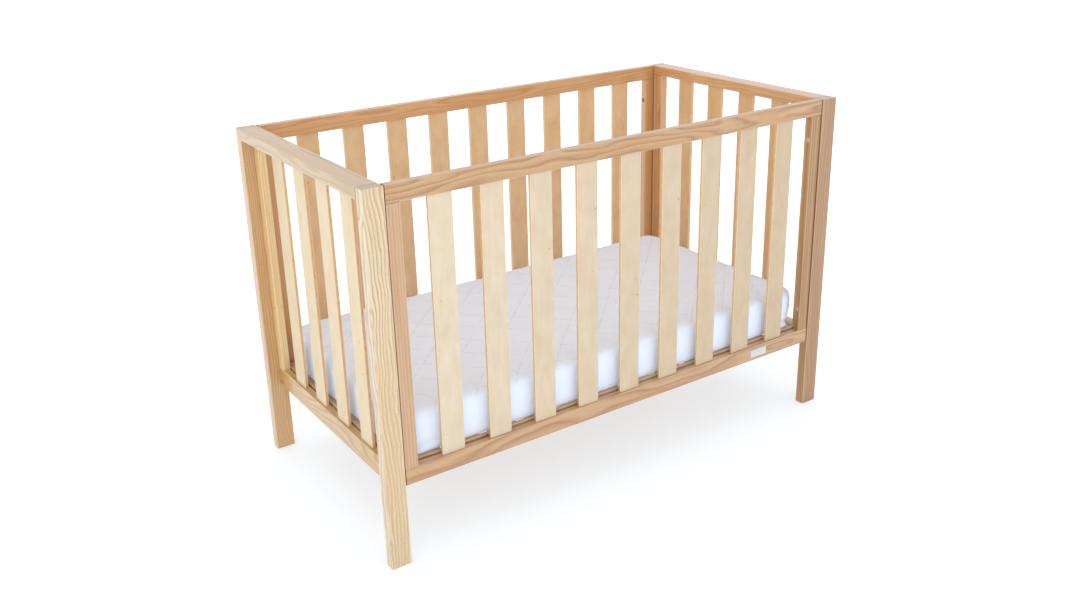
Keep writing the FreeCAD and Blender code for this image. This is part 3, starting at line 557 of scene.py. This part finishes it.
panel_places, support_places = [], []
for end, sense in SIDES:
    for face in ("front", "back"):
        low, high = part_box(f"{face}_stile_{end}")
        seat = (high.x if sense < 0 else low.x) + sense * PANEL_BOLT_RECESS
        for level in (rail_top + PANEL_BOLT_RISE, crib_top - PANEL_BOLT_DROP):
            panel_places.append(((seat, (low.y + high.y) / 2, level), (sense, 0, 0)))
        low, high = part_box(f"end_stile_{end}_{face}")
        seat = (low.x if sense < 0 else high.x) - sense * SUPPORT_RECESS
        support_places.append(((seat, (low.y + high.y) / 2, rail_top - SUPPORT_DROP),
                               (-sense, 0, 0)))
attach(turned("panel_bolt_set", "panel_bolts", panel_places, **PANEL_BOLT), "frame")
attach(turned("support_bolt_set", "support_bolts", support_places, **SUPPORT_BOLT), "frame")

FRAME_SCREW_DROPS, FRAME_SCREW_SUNK = (0.012, 0.028), 0.003
FRAME_SCREW = {"shank": (0.002, 0.042), "head": (0.004, FRAME_SCREW_SUNK, 0.0036, 0.0022),
               "thread": (0.0016, 0.0005, 0.012), "socket": (cross(0.0042), 0.0018)}
SLAT_SCREW_REACH, SLAT_SCREW_SUNK = 0.297, 0.002
SLAT_SCREW = {"shank": (0.0015, 0.016), "head": (0.003, SLAT_SCREW_SUNK, 0.0027, 0.0014),
              "thread": (0.0013, 0.0004, 0.003), "socket": (cross(0.0032), 0.0013)}
BASE_SLATS, BASE_SLAT_WIDTH = 12, 0.070
base_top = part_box("base_side_rail_front")[1].z
slats_low, slats_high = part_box("base_slats")
slat_centres = np.linspace(slats_low.x + BASE_SLAT_WIDTH / 2, slats_high.x - BASE_SLAT_WIDTH / 2,
                           BASE_SLATS)
frame_places, slat_places = [], []
for face, side in (("front", -1), ("back", 1)):
    low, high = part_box(f"base_side_rail_{face}")
    for end, sense in SIDES:
        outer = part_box(f"base_end_rail_{end}")[0 if sense < 0 else 1].x - sense * FRAME_SCREW_SUNK
        frame_places += [((outer, (low.y + high.y) / 2, base_top - drop), (-sense, 0, 0))
                         for drop in FRAME_SCREW_DROPS]
    slat_places += [((across, side * SLAT_SCREW_REACH, base_top - SLAT_SCREW_SUNK), (0, 0, -1))
                    for across in slat_centres]
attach(turned("base_frame_screw_set", "base_frame_screws", frame_places, **FRAME_SCREW),
        "mattress_base")
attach(turned("base_slat_screw_set", "base_slat_screws", slat_places, **SLAT_SCREW),
        "mattress_base")


# Threaded inserts, dowels and caps.  Zinc-plated bushes sit in the posts and ends, turned beech
# dowels join the ends, and beech caps cover the front bolts.  Beech is pine with finer, fainter
# rings here.

paint("threaded_inserts", zinc_plate("zinc plated inserts"))
BEECH = ("#CFA572", "#B5854F", "#C39660")
paint("dowels", pine("turned beech dowels", "dowels", RUN_Y, ((40, 25), 2.4, 6, 200, 0.4), BEECH))
paint("bolt_caps", pine("cut beech caps", "bolt_caps", RUN_Z, ((40, 25), 1.6, 6, 200, 0.4), BEECH))


# Name plate.  A small blank plate of anodised aluminium, stuck to the front bottom rail.

def brushed_aluminium():
    """Make brushed and anodised aluminium: nearly white, with a broad shine drawn out along it.

    The brush marks are 0.05 mm apart and are drawn 0.4 mm apart.
    """
    made, tree = material("brushed anodised aluminium")
    where = add(tree, "TexCoord")
    drawn = add(tree, "Mapping", {"Vector": where.outputs["Object"],
                                  "Scale": (20.0, 900.0, 2500.0)})
    brush = add(tree, "TexNoise", {"Vector": drawn, "Scale": 1.0, "Detail": 2.0})
    colour = add(tree, "Mix", {"Factor": brush, "A": linear("#BFC1C3"), "B": linear("#E4E5E6")},
                 data_type="RGBA")
    rough = add(tree, "Math", {0: brush, 1: 0.2, 2: 0.3}, operation="MULTIPLY_ADD")
    shader = add(tree, "BsdfPrincipled", {"Base Color": colour, "Metallic": 0.9,
                                          "Roughness": rough})
    add(tree, "OutputMaterial", {"Surface": shader})
    return made


paint("badge_plate", brushed_aluminium())


# Mattress base.  Planed pine rails with a rebate for twelve slats, all from browner boards than
# the frame's and under the same lacquer.

PLAIN = ("#D8B48A", "#A67850", "#C29668")
BASE_BOARDS = {
    "base_side_rail_front": (RUN_X, ((26, 14), 6.0, 40, 420, 0.9), PLAIN),
    "base_side_rail_back": (RUN_X, ((-26, 14), 6.0, 40, 420, 0.9), PLAIN),
    "base_end_rail_left": (RUN_Y, ((20, 22), 5.6, 34, 380, 0.9), PLAIN),
    "base_end_rail_right": (RUN_Y, ((20, -22), 5.6, 34, 380, 0.9), PLAIN),
    "base_slats": (RUN_Y, ((60, 18), 6.2, 50, 380, 0.8), PLAIN),
}
for node, (run, cut, tones) in BASE_BOARDS.items():
    paint(node, pine(f"planed pine {node}", node, run, cut, tones))


# Mattress.  A foam block in a white cotton cover: the top is quilted in diamonds, and the plain
# side border pulls into small creases at the corners.  A cloth simulation fills the cover.

SIDE_PROUD, TOP_PROUD = 0.005, 0.001
PRESSURE, SWELL_FRAMES, SWELL_LIMIT = 4.0, 20, 0.008
VOXEL = 0.006
TOP_EDGE, BOTTOM_EDGE, PLAN_CORNER = 0.029, 0.005, 0.050
QUILT_PITCH = 0.1055
QUILT_SHIFTS = (-0.033, -0.006)
QUILT_GROOVE = 0.0015
CREASE_SLOPES = (0.16, 0.42, 0.85, 1.7)
CREASE_REACH = 0.17
mattress_low, mattress_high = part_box("mattress")
mattress_half = (mattress_high - mattress_low) / 2


def foam_block(name):
    """Make a closed block with round corners and edges, as wide as its stretched cover.

    The outline is a rectangle with quarter-circle corners.  From the middle of the bottom to the
    middle of the top it grows out of its middle line over the flat face, then moves in by
    edge * (1 - cos a) over each rounded edge while the height follows edge * (1 - sin a).
    """
    half_x, half_y = mattress_half.x, mattress_half.y + SIDE_PROUD
    bottom, top = mattress_low.z, mattress_high.z + TOP_PROUD
    quarter = np.linspace(0, np.pi / 2, 14)
    angle = np.concatenate([quarter + turn * np.pi / 2 for turn in range(4)])
    ray = np.stack([np.cos(angle), np.sin(angle)], axis=1)
    signs = np.repeat([[1, 1], [-1, 1], [-1, -1], [1, -1]], len(quarter), axis=0)
    rim = signs * [half_x - PLAN_CORNER, half_y - PLAN_CORNER] + PLAN_CORNER * ray
    arc = np.linspace(0, np.pi / 2, 9)
    insets = np.concatenate([BOTTOM_EDGE * (1 - np.cos(arc[::-1])), TOP_EDGE * (1 - np.cos(arc))])
    levels = np.concatenate([bottom + BOTTOM_EDGE * (1 - np.sin(arc[::-1])),
                             top - TOP_EDGE * (1 - np.sin(arc))])
    wall = [np.column_stack([rim - inset * ray, np.full(len(rim), level)])
            for inset, level in zip(insets, levels)]
    spine = np.column_stack([np.clip(rim[:, 0], half_y - half_x, half_x - half_y),
                             np.zeros(len(rim))])
    shares = np.linspace(0, 1, 14)[1:, None]
    caps = [[np.column_stack([(1 - share) * ring[:, :2] + share * spine, ring[:, 2]])
             for share in shares] for ring in (wall[0], wall[-1])]
    rings = np.array(caps[0][::-1] + wall + caps[1])
    count = len(rim)
    here = np.arange(len(rings) - 1)[:, None] * count + np.arange(count)
    beside = np.arange(len(rings) - 1)[:, None] * count + (np.arange(count) + 1) % count
    faces = np.stack([here, beside, beside + count, here + count], axis=-1).reshape(-1, 4)
    return new_object(name, rings.reshape(-1, 3), faces)


def points_of(piece, values="co"):
    """The corners of a piece's mesh, or their normals, as an array."""
    flat = np.empty(len(piece.data.vertices) * 3, dtype=np.float32)
    piece.data.vertices.foreach_get(values, flat)
    return flat.reshape(-1, 3).astype(float)


def set_points(piece, points):
    """Put the corners of a piece's mesh in new places."""
    piece.data.vertices.foreach_set("co", points.astype(np.float32).ravel())
    piece.data.update()


def fill_with_air(piece, pressure, limit):
    """Let the cover swell as cloth under pressure, and let no point move further than the limit.

    The foam inside holds the cover out, so no point moves in along its own normal either.
    """
    start = points_of(piece)
    outward = points_of(piece, "normal")
    cloth = piece.modifiers.new("cover", "CLOTH")
    cloth.settings.quality = 5
    cloth.settings.mass = 0.3
    cloth.settings.tension_stiffness = 12
    cloth.settings.compression_stiffness = 12
    cloth.settings.bending_stiffness = 0.6
    cloth.settings.use_pressure = True
    cloth.settings.uniform_pressure_force = pressure
    cloth.settings.effector_weights.gravity = 0.0
    cloth.point_cache.frame_start = 1
    cloth.point_cache.frame_end = SWELL_FRAMES
    for number in range(1, SWELL_FRAMES + 1):
        scene.frame_set(number)
    keep_modifiers(piece)
    scene.frame_set(1)
    moved = points_of(piece) - start
    moved -= np.minimum((moved * outward).sum(axis=1, keepdims=True), 0) * outward
    length = np.linalg.norm(moved, axis=1, keepdims=True)
    set_points(piece, start + moved * np.minimum(1, limit / np.maximum(length, 1e-9)))


def ease(value, low, high):
    """Rise smoothly from 0 at low to 1 at high."""
    share = np.clip((value - low) / (high - low), 0, 1)
    return share * share * (3 - 2 * share)


def creases(points):
    """Depth of the creases that fan out from the foot of each corner of the side border.

    Each is a valley exp(-(d / width) ^ 2) about a bowed line at its own slope, where d is the
    distance from that line, and it fades away from the corner.
    """
    depth = np.zeros(len(points))
    height = points[:, 2] - mattress_low.z
    for sign_x in (-1, 1):
        for sign_y in (-1, 1):
            from_x = mattress_half.x - sign_x * points[:, 0]
            from_y = mattress_half.y - sign_y * points[:, 1]
            for number, slope in enumerate(CREASE_SLOPES):
                width = 0.0055 + 0.0011 * number
                lean = slope * (1 + 0.22 * sign_x - 0.15 * sign_y)
                for away, beside in ((from_x, from_y), (from_y, from_x)):
                    bow = 0.006 * np.sin(away * 31 + number * 2.1 + sign_x)
                    gap = (height - 0.008 - lean * (away - 0.012) - bow) / math.hypot(1, lean)
                    fade = ease(away, CREASE_REACH / (1 + 1.5 * slope), 0.01) * ease(beside, 0.03, 0.006)
                    depth += fade * np.exp(-(gap / width) ** 2) * (0.0048 - 0.0005 * number)
    return depth


def quilting(points):
    """Depth of the quilting, 0 to 1: a narrow stitched valley in a wide soft one, along each line
    of a diamond grid over the top."""
    depth = np.zeros(len(points))
    for sign, shift in zip((1, -1), QUILT_SHIFTS):
        run = (points[:, 0] + sign * points[:, 1] - shift) / QUILT_PITCH
        gap = np.abs(run - np.round(run)) * QUILT_PITCH / math.sqrt(2)
        valley = 0.6 * np.exp(-(gap / 0.004) ** 2) + 0.4 * np.exp(-(gap / 0.015) ** 2)
        depth = np.maximum(depth, valley)
    return depth * ease(points[:, 2], mattress_high.z - 0.016, mattress_high.z - 0.005)


def cotton():
    """Make bleached woven cotton: a matt, faintly blue white, and plainer grey-white on the top.

    Its threads are 0.4 mm apart, which is too fine to show, so the weave is drawn at 1.6 mm.
    The quilting thread runs along the same diamond grid as the quilting, in loose broken lines.
    The border glows with a faint blue painted light, and the top with a much fainter one, to lighten
    them in the crib's shade.
    """
    made, tree = material("bleached woven cotton")
    where = add(tree, "TexCoord")
    scaled = add(tree, "VectorMath", {0: where.outputs["Object"], "Scale": MILLIMETRES},
                 operation="SCALE")
    facing = add(tree, "SeparateXYZ", {"Vector": where.outputs["Normal"]})
    cloud = add(tree, "TexNoise", {"Vector": scaled, "Scale": 1 / 60, "Detail": 3.0})
    border = add(tree, "Mix", {"Factor": cloud, "A": linear("#E6F0FF"), "B": linear("#EEF5FF")},
                 data_type="RGBA")
    panel = add(tree, "Mix", {"Factor": cloud, "A": linear("#E8ECF8"), "B": linear("#EFF3FC")},
                data_type="RGBA")
    on_top = add(tree, "MapRange", {"Value": facing.outputs["Z"], "From Min": 0.55,
                                    "From Max": 0.95}, interpolation_type="SMOOTHSTEP")
    cloth = add(tree, "Mix", {"Factor": on_top, "A": border, "B": panel}, data_type="RGBA")
    seams = []
    for sign, shift in zip((1, -1), QUILT_SHIFTS):
        across = add(tree, "VectorMath", {0: where.outputs["Object"], 1: (1, sign, 0)},
                     operation="DOT_PRODUCT")
        steps = add(tree, "Math", {0: across, 1: 1 / QUILT_PITCH, 2: -shift / QUILT_PITCH},
                    operation="MULTIPLY_ADD")
        off = add(tree, "Math", {0: steps, 1: 0.5}, operation="PINGPONG")
        seams.append(add(tree, "Math", {0: off, 1: QUILT_PITCH * MILLIMETRES / math.sqrt(2)},
                         operation="MULTIPLY"))
    nearest = add(tree, "Math", {0: seams[0], 1: seams[1]}, operation="MINIMUM")
    line = add(tree, "MapRange", {"Value": nearest, "From Min": 2.4, "From Max": 0.7},
               interpolation_type="SMOOTHSTEP")
    worn = add(tree, "TexNoise", {"Vector": scaled, "Scale": 1 / 14, "Detail": 1.0})
    loose = add(tree, "MapRange", {"Value": worn, "From Min": 0.40, "From Max": 0.60,
                                   "To Min": 0.05, "To Max": 0.36})
    drawn = add(tree, "Math", {0: line, 1: loose}, operation="MULTIPLY")
    thread = add(tree, "Math", {0: drawn, 1: on_top}, operation="MULTIPLY")
    colour = add(tree, "Mix", {"Factor": thread, "A": cloth, "B": linear("#BDBEC2")},
                 data_type="RGBA")
    weave = [add(tree, "TexWave", {"Vector": scaled, "Scale": 0.2, "Distortion": 0.4},
                 bands_direction=direction) for direction in ("X", "Y", "Z")]
    pair = add(tree, "Math", {0: weave[0].outputs["Fac"], 1: weave[1].outputs["Fac"]},
               operation="ADD")
    cloth_height = add(tree, "Math", {0: pair, 1: weave[2].outputs["Fac"]}, operation="ADD")
    bump = add(tree, "Bump", {"Height": cloth_height, "Strength": 0.10, "Distance": 0.0004})
    rough = add(tree, "Math", {0: cloud, 1: 0.1, 2: 0.8}, operation="MULTIPLY_ADD")
    # Painted glow: a faint blue light on the border and a much fainter one on the top, lightening them
    # in the crib's shade.
    painted_glow = add(tree, "MapRange", {"Value": on_top, "To Min": 0.14, "To Max": 0.015})
    shader = add(tree, "BsdfPrincipled", {
        "Base Color": colour, "Roughness": rough, "Normal": bump, "Specular IOR Level": 0.3,
        "Sheen Weight": 0.3, "Sheen Roughness": 0.5, "Emission Color": linear("#B4CDFF"),
        "Emission Strength": painted_glow})
    add(tree, "OutputMaterial", {"Surface": shader})
    return made


mattress = foam_block("quilted_mattress")
grid = mattress.modifiers.new("even squares", "REMESH")
grid.mode = "VOXEL"
grid.voxel_size = VOXEL
keep_modifiers(mattress)
fill_with_air(mattress, PRESSURE, SWELL_LIMIT)
finer = mattress.modifiers.new("finer", "SUBSURF")
finer.levels = 1
finer.render_levels = 1
keep_modifiers(mattress)
soft = points_of(mattress)
dents = QUILT_GROOVE * quilting(soft) + creases(soft)
soft -= points_of(mattress, "normal") * dents[:, None]
soft[:, 2] = np.maximum(soft[:, 2], mattress_low.z)
set_points(mattress, soft)
mattress.data.polygons.foreach_set("use_smooth", np.ones(len(mattress.data.polygons), dtype=bool))
mattress.data.materials.append(cotton())
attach(mattress, "mattress")
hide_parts("mattress")
